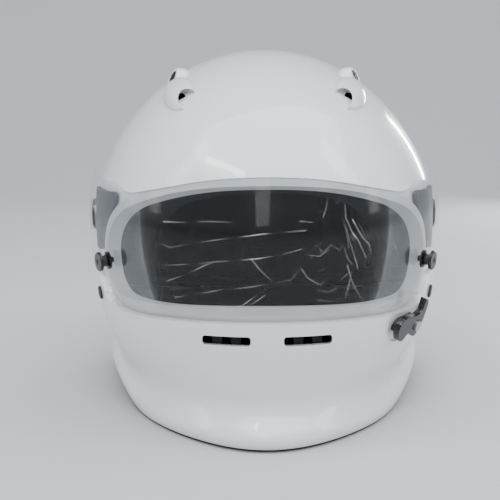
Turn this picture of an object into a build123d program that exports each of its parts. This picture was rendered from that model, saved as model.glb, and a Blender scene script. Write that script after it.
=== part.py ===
from build123d import *
from functools import cache
from math import cos, pi, radians, sin, sqrt
import os

os.makedirs("parts", exist_ok=True)

# Sizes are in millimetres. X is across the helmet with the wearer's left at
# +X, the face looks along -Y, and Z is up from the table.
shell_half_width = 123.0
shell_front = 176.5
shell_rear = 171.0
shell_top = 248.5
girth_height = 117.5
shell_wall = 4.0
rim_arch = 13.0
rim_height = 2.0

# The shield is a surface turned about the line that joins the side pivots
pivot_y = -6.0
pivot_height = 129.5
visor_half_width = 123.8
visor_reach = 165.0
visor_wall = 2.8
visor_exponent = 2.25
land_depth = 5.6
visor_edge_gap = 1.2

# Clearances
running_gap = 0.05
seat_gap = 0.3
overrun = 30.0

ring_steps = 12
dome_rings = 10
rim_steps = 32
turned_points = 16
last_ring_turn = 88.0

# Rings below the girth, from the rim up: height, half width, front, rear and
# middle as shares of the girth ring's, how much of the rim's arch the ring
# keeps, and the exponent of its plan
low_ring_shares = (
    (-0.170, 0.955, 0.918, 0.825, 0.269, 0.00, 1.78),
    (-0.075, 0.955, 0.920, 0.828, 0.269, 0.50, 1.78),
    (0.017, 0.965, 0.932, 0.838, 0.269, 1.00, 1.78),
    (0.080, 0.975, 0.950, 0.853, 0.266, 1.00, 1.79),
    (0.140, 0.959, 0.923, 0.847, 0.250, 1.00, 1.82),
    (0.204, 0.945, 0.894, 0.848, 0.228, 0.97, 1.86),
    (0.280, 0.950, 0.894, 0.864, 0.200, 0.90, 1.91),
    (0.370, 0.967, 0.915, 0.892, 0.160, 0.70, 1.98),
    (0.470, 0.985, 0.934, 0.920, 0.118, 0.45, 2.07),
    (0.579, 0.996, 0.950, 0.950, 0.076, 0.20, 2.16),
    (0.700, 1.000, 0.961, 0.975, 0.035, 0.03, 2.24),
    (0.851, 1.000, 0.978, 0.994, -0.006, 0.00, 2.28),
)
girth_middle_share = -0.029
girth_exponent = 2.28
crown_exponent = 2.05

# Where the rim starts and stops rising, as shares of the front and rear reach
arch_rise_shares = (-0.57, -0.06)
arch_fall_shares = (0.35, 0.76)

# Outlines seen from the side, from the lower front round the back to the upper
# front, as shares of the shield's reach from the pivot
eyeport_shares = (
    (-1.10, -0.225), (-0.938, -0.233), (-0.809, -0.247), (-0.676, -0.249), (-0.606, -0.239),
    (-0.562, -0.205), (-0.548, -0.145), (-0.556, -0.062), (-0.592, 0.005), (-0.656, 0.067),
    (-0.722, 0.110), (-0.813, 0.151), (-0.896, 0.189), (-0.944, 0.208), (-1.10, 0.262),
)
visor_shares = (
    (-1.10, -0.276), (-0.958, -0.282), (-0.755, -0.292), (-0.628, -0.293), (-0.562, -0.272),
    (-0.525, -0.225), (-0.475, -0.188), (-0.36, -0.178), (-0.18, -0.178), (-0.02, -0.176),
    (0.12, -0.13), (0.178, 0.0), (0.12, 0.135), (-0.02, 0.19), (-0.20, 0.205), (-0.40, 0.206),
    (-0.54, 0.197), (-0.62, 0.180), (-0.68, 0.165), (-0.74, 0.163), (-0.80, 0.176),
    (-0.873, 0.200), (-0.938, 0.2315), (-1.10, 0.29),
)
pod_shares = (
    (-0.50, -0.12), (-0.44, -0.145), (-0.30, -0.152), (-0.10, -0.150), (0.04, -0.140),
    (0.125, -0.085), (0.148, 0.0), (0.125, 0.09), (0.04, 0.150), (-0.10, 0.170), (-0.30, 0.180),
    (-0.50, 0.180), (-0.62, 0.168), (-0.672, 0.150), (-0.668, 0.12), (-0.62, 0.06), (-0.555, -0.04),
)
arm_shares = (
    (-0.49, -0.085), (-0.40, -0.098), (-0.20, -0.108), (0.0, -0.115), (0.085, -0.08),
    (0.115, 0.0), (0.085, 0.08), (0.0, 0.118), (-0.20, 0.138), (-0.40, 0.152), (-0.58, 0.158),
    (-0.635, 0.150), (-0.635, 0.12), (-0.58, 0.04), (-0.53, -0.04),
)
# The crown liner's lower edge, as shares of the reach from the pivot
liner_edge_shares = ((-1.2, 0.10), (-0.545, -0.03), (-0.50, -0.22), (0.16, -0.31), (0.70, -0.47), (1.2, -0.47))


def smooth_step(value, start, stop):
    t = min(max((value - start) / (stop - start), 0), 1)
    return t * t * (3 - 2 * t)


def arch_at(y):
    """How far the rim has risen above the table plane at a place along Y."""
    rise = smooth_step(y, shell_front * arch_rise_shares[0], shell_front * arch_rise_shares[1])
    fall = smooth_step(-y, -shell_rear * arch_fall_shares[1], -shell_rear * arch_fall_shares[0])
    return rim_arch * rise * fall


def guided_spline(points, start, end):
    """A spline at an even pace through its points that leaves and arrives along two directions."""
    count = len(points) - 1
    pace = [(points[1] - points[0]).length * count, (points[-1] - points[-2]).length * count]
    return Edge.make_spline(points, tangents=[start * pace[0], end * pace[1]], scale=False,
                            parameters=[step / count for step in range(count + 1)])


def ring_side(height, half_width, front, rear, middle, lift, exponent, side):
    """The right or left half of one ring, from the face round to the nape."""
    points = []
    for step in range(ring_steps + 1):
        turn = pi * (step / ring_steps - 1 / 2)
        reach = front + middle if turn < 0 else rear - middle
        wide, along = cos(turn) / half_width, abs(sin(turn)) / reach
        radius = (wide**exponent + along**exponent) ** (-1 / exponent)
        y = middle + radius * sin(turn)
        x = radius * cos(turn) if 0 < step < ring_steps else 0
        points.append(Vector(side * x, y, height + lift * arch_at(y)))
    return guided_spline(points, Vector(side, 0, 0), Vector(-side, 0, 0))


def ring(*sizes):
    """One closed ring of the shell's plan, raised along the sides with the rim."""
    return Wire([ring_side(*sizes, side=1), ring_side(*sizes, side=-1)])


def ring_sizes(inset=0):
    """The sizes of every ring from under the rim to the crown, drawn in by an inset."""
    half, front, rear = shell_half_width - inset, shell_front - inset, shell_rear - inset
    middle = shell_rear * girth_middle_share
    rows = []
    for height, wide, ahead, behind, mid, lift, exponent in low_ring_shares:
        drop = 0 if rows else inset
        rows.append((girth_height * height - drop, shell_half_width * wide - inset,
                     shell_front * ahead - inset, shell_rear * behind - inset,
                     shell_rear * mid, lift, exponent))
    for step in range(dome_rings + 1):
        turn = radians(last_ring_turn * step / dome_rings)
        height = girth_height + (shell_top - inset - girth_height) * sin(turn)
        exponent = girth_exponent + (crown_exponent - girth_exponent) * step / dome_rings
        size = cos(turn)
        rows.append((height, half * size, front * size, rear * size, middle * size, 0, exponent))
    return rows


@cache
def egg(inset=0):
    """The helmet's whole outer form, or one drawn in by an inset."""
    return Solid.make_loft([ring(*sizes) for sizes in ring_sizes(inset)])


@cache
def core(inset):
    """The whole form shrunk towards the middle of the girth, for the liners' insides."""
    wide = 1 - inset / shell_half_width
    along = 1 - 2 * inset / (shell_front + shell_rear)
    high = 1 - inset / (shell_top - girth_height)
    rings = [ring(girth_height + high * (height - girth_height), wide * half, along * front,
                  along * rear, along * middle, high * lift, exponent)
             for height, half, front, rear, middle, lift, exponent in ring_sizes()]
    return Solid.make_loft(rings)


def side_points(shares):
    return [(pivot_y + visor_reach * y, pivot_height + visor_reach * z) for y, z in shares]


def grown(points, margin, closed=False):
    """Side view points moved out, square to the line, by a margin."""
    moved, last = [], len(points) - 1
    for i, (y, z) in enumerate(points):
        before = points[i - 1] if closed or i > 0 else points[0]
        after = points[(i + 1) % len(points)] if closed or i < last else points[last]
        dy, dz = after[0] - before[0], after[1] - before[1]
        size = sqrt(dy * dy + dz * dz)
        moved.append((y + margin * dz / size, z - margin * dy / size))
    return moved


def across(edges, both=True):
    """A side view outline cut right across the helmet, or from its middle to the left."""
    face = Face(Wire(edges))
    return extrude(face, amount=shell_half_width + overrun, dir=(1, 0, 0), both=both)


@cache
def front_prism(shares, margin=0):
    """An outline that is open towards the face, cut right across the helmet."""
    points = [Vector(0, y, z) for y, z in grown(side_points(shares), margin)]
    ahead = pivot_y - visor_reach - overrun
    top, low = Vector(0, ahead, points[-1].Z), Vector(0, ahead, points[0].Z)
    return across([Edge.make_spline(points), Edge.make_line(points[-1], top),
                   Edge.make_line(top, low), Edge.make_line(low, points[0])])


def side_prism(shares, margin=0):
    """A closed outline cut from the middle of the helmet to the left."""
    points = [Vector(0, y, z) for y, z in grown(side_points(shares), margin, closed=True)]
    return across([Edge.make_spline(points, periodic=True)], both=False)


@cache
def above_line(shares, drop=0):
    """Everything above a line of the side view, across the helmet."""
    points = [Vector(0, y, z - drop) for y, z in side_points(shares)]
    ceiling = shell_top + overrun
    points += [Vector(0, points[-1].Y, ceiling), Vector(0, points[0].Y, ceiling)]
    return across([Edge.make_line(a, b) for a, b in zip(points, points[1:] + points[:1])])


@cache
def turned_body(inset=0, half_width=visor_half_width, reach=visor_reach):
    """The shield's surface of revolution as a solid, drawn in by an inset."""
    half, far = half_width - inset, reach - inset
    points = []
    for step in range(turned_points + 1):
        turn = pi * step / turned_points
        wide, out = abs(cos(turn)) / half, sin(turn) / far
        radius = (wide**visor_exponent + out**visor_exponent) ** (-1 / visor_exponent)
        points.append(Vector(radius * cos(turn), pivot_y + radius * sin(turn), pivot_height))
    curve = guided_spline(points, Vector(0, 1, 0), Vector(0, -1, 0))
    face = Face(Wire([curve, Edge.make_line(points[-1], points[0])]))
    return revolve(face, axis=Axis((0, pivot_y, pivot_height), (1, 0, 0)), revolution_arc=360)


@cache
def body(inset=0):
    """The shell's outer form with the shield's land let into it, or an inset of it."""
    seat = front_prism(visor_shares, visor_edge_gap + inset)
    return egg(inset) - (seat - turned_body(land_depth + inset))


@cache
def above_rim(raised=0):
    """Everything above the rim's side view line."""
    count = rim_steps
    first, last = -shell_front - overrun, shell_rear + overrun
    places = [first + (last - first) * i / count for i in range(count + 1)]
    curve = [Vector(0, y, rim_height + raised + arch_at(y)) for y in places]
    ceiling = shell_top + overrun
    back, ahead = Vector(0, last, ceiling), Vector(0, first, ceiling)
    return across([Edge.make_spline(curve), Edge.make_line(curve[-1], back),
                   Edge.make_line(back, ahead), Edge.make_line(ahead, curve[0])])


def save(name, shape):
    export_step(shape, f"parts/{name}.step")


def flip(shape):
    """The same piece on the wearer's right."""
    return mirror(shape, about=Plane.YZ)


@cache
def shell_plane(y, z):
    """A plane on the shell's left side: its X runs back and its Z points out."""
    hits = [hit for face in left_faces for hit in face.find_intersection_points(Axis((0, y, z), (1, 0, 0)))]
    point, normal = hits[0]
    return Plane(origin=point, x_dir=Vector(-normal.Y, normal.X, 0), z_dir=normal)


@cache
def dome_plane(x, y):
    """A plane on the dome: its X runs down and forward and its Z points out."""
    hits = [hit for face in left_faces for hit in face.find_intersection_points(Axis((x, y, 0), (0, 0, 1)))
            if hit[0].Z > girth_height]
    point, normal = hits[0]
    slope = Vector(0, -1, 0) - normal * normal.dot(Vector(0, -1, 0))
    return Plane(origin=point, x_dir=slope, z_dir=normal)


@cache
def visor_plane(y_share, z_share):
    """A plane on the shield's left side at a place of the side view."""
    dy, dz = visor_reach * y_share, visor_reach * z_share
    out = sqrt(dy * dy + dz * dz)
    across_share = (1 - (out / visor_reach) ** visor_exponent) ** (1 / visor_exponent)
    lean = out ** (visor_exponent - 2) / visor_reach**visor_exponent
    normal = Vector(across_share** (visor_exponent - 1) / visor_half_width, lean * dy, lean * dz)
    point = Vector(visor_half_width * across_share, pivot_y + dy, pivot_height + dz)
    return Plane(origin=point, x_dir=Vector(0, 1, 0), z_dir=normal)


def turned(plane, *profile):
    """A turned piece on a plane's axis from pairs of radius and height."""
    face = Face(Wire.make_polygon([Vector(r, 0, h) for r, h in profile], close=True))
    return plane * revolve(face, axis=Axis.Z, revolution_arc=360)


whole = egg()
left_faces = [face for face in whole.faces() if face.center().X > seat_gap]

# Shield and what rides on it
pod_height = 1.6
pod_draw = 2.2
arm_wall = 1.7
arm_gap = 0.05
pivot_bush_radius = 8.0
pivot_flange_radius = 12.0
pivot_flange_wall = 0.6
pivot_stem_radius = 5.0
pivot_bore_radius = 2.5
pivot_head_radius = 11.5
pivot_head_height = 1.8
pivot_head_gap = 0.2
driver_radius = 2.2
driver_depth = 1.1
tab_shares = (
    (-0.727, -0.295), (-0.662, -0.295), (-0.655, -0.27), (-0.662, -0.24), (-0.727, -0.24), (-0.737, -0.268),
)
tab_height = 3.4

# Tear-off post, a waisted spool riveted through the shield
post_place_shares = (-0.622, -0.109)
post_base_radius = 5.8
post_head_radius = 6.3
post_waist_radius = 3.7
post_base_height = 1.8
post_waist_height = 3.6
post_head_height = 2.4
post_stem_radius = 2.0
post_screw_radius = 1.9
post_screw_depth = 4.0
post_edge = 0.5


def pivot_plane(height=0):
    return Plane(origin=(visor_half_width + height, pivot_y, pivot_height), z_dir=(1, 0, 0))


def visor_piece():
    """The clear shield with its two moulded side pods, opening tab and holes."""
    shield = (turned_body() - turned_body(visor_wall)) & front_prism(visor_shares)
    swollen = turned_body(0, visor_half_width + pod_height, visor_reach - pod_draw)
    pod = (swollen - turned_body(visor_wall / 2)) & side_prism(pod_shares)
    tab = (turned_body(-tab_height) - turned_body(visor_wall / 2)) & side_prism(tab_shares)
    tab = tab & front_prism(visor_shares)
    shield = shield + [pod, flip(pod), tab]
    bush = pivot_plane(-land_depth) * extrude(Circle(pivot_bush_radius + running_gap), amount=land_depth + overrun)
    head = pivot_plane() * extrude(Circle(pivot_head_radius + seat_gap), amount=overrun)
    stem = extrude(visor_plane(*post_place_shares) * Circle(post_stem_radius), amount=overrun / 2, both=True)
    return shield - [bush, flip(bush), head, flip(head), stem, flip(stem)]


def visor_arm():
    """The thin black arm that lies under a pod and turns on the pivot bush."""
    outer_inset = visor_wall + arm_gap
    arm = turned_body(outer_inset) - turned_body(outer_inset + arm_wall)
    arm = (arm & side_prism(arm_shares)) - front_prism(eyeport_shares, eyeport_bead + seal_flange + seat_gap)
    bore = pivot_plane(-land_depth) * extrude(Circle(pivot_bush_radius + running_gap), amount=land_depth + overrun)
    return arm - bore


def pivot_bush():
    """The bush that the arm and shield turn on, with its stem through the shell."""
    seat = -land_depth
    low = seat - shell_wall
    flange = seat + pivot_flange_wall
    top = pivot_head_gap
    bush = turned(pivot_plane(), (pivot_bore_radius, low), (pivot_stem_radius, low),
                  (pivot_stem_radius, seat), (pivot_flange_radius, seat), (pivot_flange_radius, flange),
                  (pivot_bush_radius, flange), (pivot_bush_radius, top), (pivot_bore_radius, top))
    return bush


def pivot_screw():
    """The broad headed screw that keeps the shield on its bush."""
    low, seat = -land_depth - shell_wall, pivot_head_gap
    top = seat + pivot_head_height
    screw = turned(pivot_plane(), (0, low), (pivot_bore_radius, low), (pivot_bore_radius, seat),
                   (pivot_head_radius, seat), (pivot_head_radius, top - post_edge),
                   (pivot_head_radius - post_edge, top), (0, top))
    socket = extrude(pivot_plane(top) * RegularPolygon(driver_radius, 6), amount=-driver_depth)
    return screw - socket


def tear_off_post():
    """The black waisted spool that the tear-off films hook on."""
    waist_low = post_base_height
    waist_top = waist_low + post_waist_height
    top = waist_top + post_head_height
    spool = turned(visor_plane(*post_place_shares), (0, -visor_wall), (post_stem_radius, -visor_wall),
                   (post_stem_radius, 0), (post_base_radius, 0), (post_base_radius, waist_low - post_edge),
                   (post_waist_radius, waist_low + post_edge), (post_waist_radius, waist_top - post_edge),
                   (post_head_radius, waist_top + post_edge), (post_head_radius, top - post_edge),
                   (post_head_radius - post_edge, top), (0, top))
    return spool - turned(visor_plane(*post_place_shares), (0, top - post_screw_depth),
                          (post_screw_radius, top - post_screw_depth), (post_screw_radius, top), (0, top))


def post_screw():
    """The socket screw down the middle of a tear-off post."""
    top = post_base_height + post_waist_height + post_head_height
    plane = visor_plane(*post_place_shares)
    screw = turned(plane, (0, top - post_screw_depth), (post_screw_radius, top - post_screw_depth),
                   (post_screw_radius, top - post_edge), (0, top - post_edge))
    socket = Pos(0, 0, top - post_edge) * RegularPolygon(post_screw_radius / 2, 6)
    return screw - extrude(plane * socket, amount=-driver_depth)


# Eyeport seal and the rim's trim
eyeport_bead = 2.5
seal_flange = 3.2
seal_depth = 1.5
trim_inset = 0.6
trim_leg = 2.6
trim_leg_height = 10.0
trim_flat = 0.4


def eyeport_seal():
    """The soft channel round the eyeport that the shut shield rests on."""
    top = turned_body(visor_wall + seat_gap)
    flange = (top - turned_body(land_depth)) & front_prism(eyeport_shares, eyeport_bead + seal_flange)
    flange = flange & front_prism(visor_shares)
    deep = land_depth + shell_wall + seal_depth
    bead = (top - turned_body(deep)) & front_prism(eyeport_shares, eyeport_bead)
    return (flange + bead) - front_prism(eyeport_shares)


def edge_trim():
    """The rubber channel on the bottom rim: a foot cut flat on the table and an inner leg."""
    band = egg(trim_inset) & above_rim(-rim_height - trim_flat)
    band = band & zone(-shell_front - overrun, shell_rear + overrun, shell_top)
    band = band - above_rim(trim_leg_height) - egg(shell_wall + trim_leg)
    return band - (above_rim() - egg(shell_wall))


# Brow vents: a hood raised from the dome, a mouth under it and a round shutter
vent_place = (56.5, -83.0)
hood_along, hood_across, hood_height = 27.0, 11.5, 6.0
hood_sink = 0.5
mouth_along, mouth_across, mouth_height = 25.0, 7.6, 5.2
mouth_shift = 27.0
mouth_turn = -13.0
duct_radius = 3.4
duct_start = 11.0
duct_tilt = 24.0
knob_place = (62.0, -45.0)
knob_facing = (0.83, -0.38, 0.41)
knob_lift = 2.6
knob_boss_radius = 9.0
knob_boss_depth = 6.2
knob_radius = 4.8
knob_height = 3.2
knob_inset = 0.3
knob_edge = 0.5
knob_stem_radius = 2.0
knob_stem_depth = 3.5
knob_slot_width = 1.2
knob_slot_depth = 0.8


def knob_plane(height=0):
    """The round shutter's own plane, turned out from the dome."""
    dome = dome_plane(*knob_place)
    facing = Vector(*knob_facing).normalized()
    return Plane(origin=dome.origin + dome.z_dir * knob_lift + facing * height, z_dir=facing)


def vent_hood():
    form = scale(Sphere(1), by=(hood_along, hood_across, hood_height))
    hood = dome_plane(*vent_place) * Pos(0, 0, -hood_sink) * form
    cap = extrude(knob_plane() * Circle(knob_boss_radius), amount=knob_boss_radius)
    return hood + (knob_plane(-knob_boss_depth) * Sphere(knob_boss_radius) - cap)


def vent_mouth():
    form = scale(Sphere(1), by=(mouth_along, mouth_across, mouth_height))
    return dome_plane(*vent_place) * Rot(0, 0, mouth_turn) * Pos(mouth_shift, 0, hood_sink) * form - whole


def vent_duct():
    plane = dome_plane(*vent_place)
    tube = Cylinder(duct_radius, hood_along, align=(Align.CENTER, Align.CENTER, Align.MIN))
    return plane * Pos(duct_start, 0, hood_sink) * Rot(0, -duct_tilt - 90, 0) * tube


def knob_seat():
    recess = extrude(knob_plane(-knob_height) * Circle(knob_radius + running_gap), amount=2 * knob_height)
    depth = knob_height + knob_stem_depth
    return recess + extrude(knob_plane(-depth) * Circle(knob_stem_radius + running_gap), amount=depth)


def vent_knob():
    """The round quarter turn shutter of a brow vent."""
    low, seat, top = seat_gap - knob_height - knob_stem_depth, running_gap - knob_height, -knob_inset
    knob = turned(knob_plane(), (0, low), (knob_stem_radius, low), (knob_stem_radius, seat),
                  (knob_radius, seat), (knob_radius, top - knob_edge), (knob_radius - knob_edge, top), (0, top))
    slot = knob_plane(top) * Rectangle(2 * knob_radius, knob_slot_width)
    return knob - extrude(slot, amount=-knob_slot_depth)


# Chin vent: two slots, a grille behind them and a curved shutter that slides
slot_inner, slot_outer = 10.0, 39.5
slot_low, slot_high = 68.0, 74.0
slot_corner = 2.0
grille_margin = 1.8
grille_wall = 1.2
slit_width = 5.5
slit_pitch = 11.5
slit_extra = 0.6
shutter_centre = -56.0
shutter_radius = 105.0
shutter_wall = 1.4
shutter_tab_width = 5.0
shutter_tab_length = 26.0
housing_depth = 2.6
housing_margin = 18.0
slot_middle = (slot_inner + slot_outer) / 2
slot_height = (slot_low + slot_high) / 2


def chin_block(half_width, margin, back):
    """A box round the chin vent, from in front of the chin back to a place along Y."""
    front = -shell_front - overrun
    size = (2 * half_width, back - front, slot_high - slot_low + 2 * margin)
    return Pos(0, front, slot_height) * Box(*size, align=(Align.CENTER, Align.MIN, Align.CENTER))


def chin_slot():
    outline = RectangleRounded(slot_outer - slot_inner, slot_high - slot_low, slot_corner)
    front = Plane(origin=(slot_middle, -shell_front - overrun, slot_height), x_dir=(1, 0, 0), z_dir=(0, 1, 0))
    return extrude(front * outline, amount=shell_front / 2)


def slits():
    """The three openings on each side that the grille and the shutter share."""
    places = [side * (slot_middle + slit_pitch * step) for side in (-1, 1) for step in (-1, 0, 1)]
    slit = Box(slit_width, shell_front, slot_high - slot_low + 2 * slit_extra)
    return [Pos(x, -shell_front, slot_height) * slit for x in places]


def chin_grille():
    plate = egg(shell_wall) & chin_block(slot_outer + grille_margin, grille_margin, 0)
    return plate - egg(shell_wall + grille_wall) - slits()


def shutter_band(inner, outer, half_width, margin):
    """A curved band about the shutter's own centre line, kept to a width at the chin."""
    tube = Cylinder(outer, shell_top) - Cylinder(inner, shell_top)
    return (Pos(0, shutter_centre, 0) * tube) & chin_block(half_width, margin, shutter_centre)


def chin_shutter():
    inner = shutter_radius - shutter_wall
    plate = shutter_band(inner, shutter_radius, slot_outer + grille_margin, grille_margin - seat_gap) - slits()
    tab = Box(shutter_tab_width, shutter_tab_length, slot_high - slot_low,
              align=(Align.CENTER, Align.MIN, Align.CENTER))
    return plate + Pos(0, shutter_centre - inner - shutter_wall / 2, slot_height) * tab


# Rear exhaust vents
rear_place = (38.0, 128.0)
rear_length, rear_width = 34.0, 12.0
rear_lip = 3.0
rear_lip_height = 1.6
rear_slit_width = 3.0
rear_slit_length = 7.0
rear_slit_pitch = 6.2
rear_slit_count = 5


def rear_slot(extra=0.0):
    outline = SlotOverall(rear_length + extra, rear_width + extra)
    return extrude(dome_plane(*rear_place) * outline, amount=overrun / 2, both=True)


def rear_vent():
    """A rear exhaust grille: a plug in the shell under a proud lip, with slits."""
    lip = (rear_slot(2 * rear_lip) & egg(-rear_lip_height)) - whole
    plug = (rear_slot(-2 * running_gap) & egg(-rear_lip_height / 2)) - egg(shell_wall)
    plane = dome_plane(*rear_place)
    cuts = []
    for step in range(rear_slit_count):
        along = rear_slit_pitch * (step - (rear_slit_count - 1) / 2)
        slit = plane * Pos(along, 0) * Rectangle(rear_slit_width, rear_slit_length)
        cuts.append(extrude(slit, amount=overrun / 2, both=True))
    return (lip + plug) - cuts


# Shield lock on the wearer's left of the chin
lock_place = (-121.0, 71.2)
lock_length = 32.0
pocket_depth = 1.8
base_height = 0.9
lock_boss_radius = 4.6
lever_lift = 1.4
lever_thickness = 4.2
lever_visor_gap = 0.6
lock_pin_radius = 2.5
lock_pin_head_radius = 3.6
lock_pin_head_height = 1.3
spring_gap = 0.3
spring_wall = 1.2
spring_height = 1.2
lock_pin_shares = (0.303, -0.03)
lever_shares = (
    (-0.485, 0.045), (-0.379, 0.197), (-0.242, 0.242), (0.060, 0.227), (0.290, 0.245), (0.375, 0.36),
    (0.409, 0.545), (0.500, 0.50), (0.545, 0.242), (0.515, 0.0), (0.424, -0.182), (0.303, -0.258),
    (0.182, -0.227), (0.060, -0.152), (-0.060, -0.167), (-0.182, -0.258), (-0.290, -0.262), (-0.400, -0.160),
)
lock_base_shares = (
    (-0.36, 0.0), (-0.25, 0.13), (0.0, 0.15), (0.30, 0.16), (0.46, 0.10), (0.47, -0.06),
    (0.38, -0.19), (0.20, -0.17), (-0.05, -0.10), (-0.25, -0.14),
)
pocket_shares = (
    (-0.58, 0.33), (-0.60, 0.06), (-0.45, -0.22), (-0.13, -0.39), (0.18, -0.36), (0.46, -0.29),
    (0.62, -0.06), (0.65, 0.30), (0.60, 0.60), (0.42, 0.62), (0.30, 0.46), (0.0, 0.40), (-0.35, 0.40),
)


def lock_outline(shares, low, high):
    """A rounded outline on the lock's plane, between two heights over the shell."""
    points = [Vector(lock_length * u, lock_length * v) for u, v in shares]
    face = Face(Wire([Edge.make_spline(points, periodic=True)]))
    plane = shell_plane(*lock_place).offset(low)
    return extrude(plane * face, amount=high - low, dir=plane.z_dir)


def lock_round(radius, low, high):
    """A round piece on the lock's pin between two heights."""
    u, v = lock_pin_shares
    circle = Pos(lock_length * u, lock_length * v) * Circle(radius)
    return extrude(shell_plane(*lock_place).offset(low) * circle, amount=high - low)


def lock_pocket():
    return lock_outline(pocket_shares, -overrun / 2, overrun / 2) - egg(pocket_depth)


def lock_base():
    plate = lock_outline(lock_base_shares, -overrun / 3, base_height)
    boss = lock_round(lock_boss_radius, -overrun / 3, lever_lift - running_gap)
    return (plate + boss) - egg(pocket_depth) - lock_round(lock_pin_radius, -overrun, overrun)


def lock_lever():
    lever = lock_outline(lever_shares, lever_lift, lever_lift + lever_thickness)
    shield = turned_body(-lever_visor_gap) & front_prism(visor_shares, lever_visor_gap)
    well_radius = lock_pin_radius + spring_gap + spring_wall + seat_gap
    well = lock_round(well_radius, lever_lift - seat_gap, lever_lift + spring_height + seat_gap)
    return lever - shield - [well, lock_round(lock_pin_radius + running_gap, 0, overrun)]


def lock_pin():
    seat = lever_lift + lever_thickness + running_gap
    head = lock_round(lock_pin_head_radius, seat, seat + lock_pin_head_height)
    return head + lock_round(lock_pin_radius, -shell_wall, seat)


def lock_spring():
    low = lever_lift - running_gap
    outer = lock_round(lock_pin_radius + spring_gap + spring_wall, low, low + spring_height)
    return outer - lock_round(lock_pin_radius + spring_gap, low, low + spring_height)


# Rubber rests beside the lower rear corners of the shield
rest_place = (-80.0, 84.5)
rest_radius = 4.5
rest_sunk = 1.0
rest_proud = 1.3


def shield_rest():
    plane = shell_plane(*rest_place)
    return turned(plane, (0, -rest_sunk), (rest_radius, -rest_sunk), (rest_radius, rest_proud - post_edge),
                  (rest_radius - post_edge, rest_proud), (0, rest_proud))


# Threaded inserts for a head restraint's tethers
insert_place = (28.5, 58.5)
insert_radius = 5.0
insert_head_radius = 7.0
insert_head_height = 1.0
insert_bore_radius = 2.5


def insert_outline(gap=0.0):
    """The six sided body of an insert, which keeps it from turning in the shell."""
    return shell_plane(*insert_place) * RegularPolygon(insert_radius + gap, 6)


def anchor_insert():
    plane = shell_plane(*insert_place)
    head = turned(plane, (0, 0), (insert_head_radius, 0), (insert_head_radius, insert_head_height),
                  (0, insert_head_height))
    bore = extrude(plane * Circle(insert_bore_radius), amount=overrun, both=True)
    return extrude(insert_outline(), amount=-shell_wall) + head - bore


# Chin strap, its anchors and the two D rings
strap_y = 6.0
strap_width = 22.0
strap_wall = 1.6
strap_side = 107.4
strap_end_height = 46.0
strap_turn_height = 32.0
strap_bend_x = 95.0
strap_low = 17.4
strap_bend_radius = 9.0
ring_place_x = 40.0
ring_place_z = 12.0
ring_wire = 1.8
ring_step = 2.2
ring_length, ring_width, ring_corner = 22.0, 32.0, 7.0
loop_radius = 5.0
free_end_x = -10.0
free_end_z = 12.0
rivet_drop = 5.0
rivet_radius = 2.5
rivet_head_radius = 5.0
rivet_head_height = 1.0


def strap_band(*points):
    """A flat band that follows a line drawn in the front view."""
    line = FilletPolyline(*points, radius=strap_bend_radius)
    band = Plane.XZ * trace(line, line_width=strap_wall)
    return Pos(0, strap_y, 0) * extrude(band, amount=strap_width / 2, both=True)


def strap_loop(radius):
    centre = Plane(origin=(ring_place_x, strap_y, ring_place_z), z_dir=(0, 1, 0))
    return extrude(centre * Circle(radius), amount=strap_width / 2, both=True)


def strap_left():
    """The short strap half that ends in a loop round the rings' bars."""
    band = strap_band((strap_side, strap_end_height), (strap_side, strap_turn_height),
                      (strap_bend_x, strap_low), (ring_place_x, strap_low))
    return (band + strap_loop(loop_radius + strap_wall)) - strap_loop(loop_radius)


def strap_right():
    """The long strap half, whose free end threads the rings when it is worn."""
    return strap_band((-strap_side, strap_end_height), (-strap_side, strap_turn_height),
                      (-strap_bend_x, strap_low), (-ring_place_x, strap_low), (free_end_x, free_end_z))


def d_ring(step):
    """One wire ring, flat, with its bar held in the strap's loop."""
    place = Plane(origin=(ring_place_x - ring_length / 2, strap_y, ring_place_z + step))
    path = (place * RectangleRounded(ring_length, ring_width, ring_corner)).face().outer_wire()
    start = Plane(origin=(ring_place_x, strap_y, ring_place_z + step), x_dir=(1, 0, 0), z_dir=(0, 1, 0))
    return sweep(start * Circle(ring_wire), path=path)


def strap_rivet():
    """The rivet through the shell that holds a strap's end."""
    height = strap_end_height - rivet_drop
    plane = Plane(origin=(strap_side + strap_wall / 2, strap_y, height), z_dir=(1, 0, 0))
    raised = egg(-rivet_head_height)
    shank = extrude(plane * Circle(rivet_radius), amount=overrun) & raised
    head = (extrude(plane * Circle(rivet_head_radius), amount=overrun) & raised) - whole
    return shank + head


# Liners and pads, drawn in from the outer form
crown_inset = 33.0
chin_inset = 24.0
comfort_wall = 8.0
cheek_inset = 36.0
neck_inset = 26.0
liner_gap = 3.5
liner_floor = 12.0
chin_back, chin_top = -62.0, 84.0
cheek_front, cheek_back, cheek_near = -60.0, 72.0, 40.0
neck_front, neck_top = 74.0, 50.0
channel_depth = 8.0
channel_margin = 3.0
snap_radius = 5.0
snap_height = 3.0
snap_places = ((-35.0, 56.0), (48.0, 56.0))


def zone(front, back, top):
    """A block right across the helmet, between two places along Y and up to a height."""
    size = (2 * shell_half_width + overrun, back - front, top)
    return Pos(0, front, 0) * Box(*size, align=(Align.CENTER, Align.MIN, Align.MIN))


def crown_eps():
    liner = (lining_form & above_line(liner_edge_shares)) - core(crown_inset)
    return liner - front_prism(eyeport_shares, eyeport_bead + liner_gap)


def crown_pad():
    outer = crown_inset + seat_gap
    pad = core(outer) & above_line(liner_edge_shares, -liner_gap)
    pad = pad - front_prism(eyeport_shares, eyeport_bead + 2 * liner_gap)
    return pad - core(outer + comfort_wall)


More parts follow.
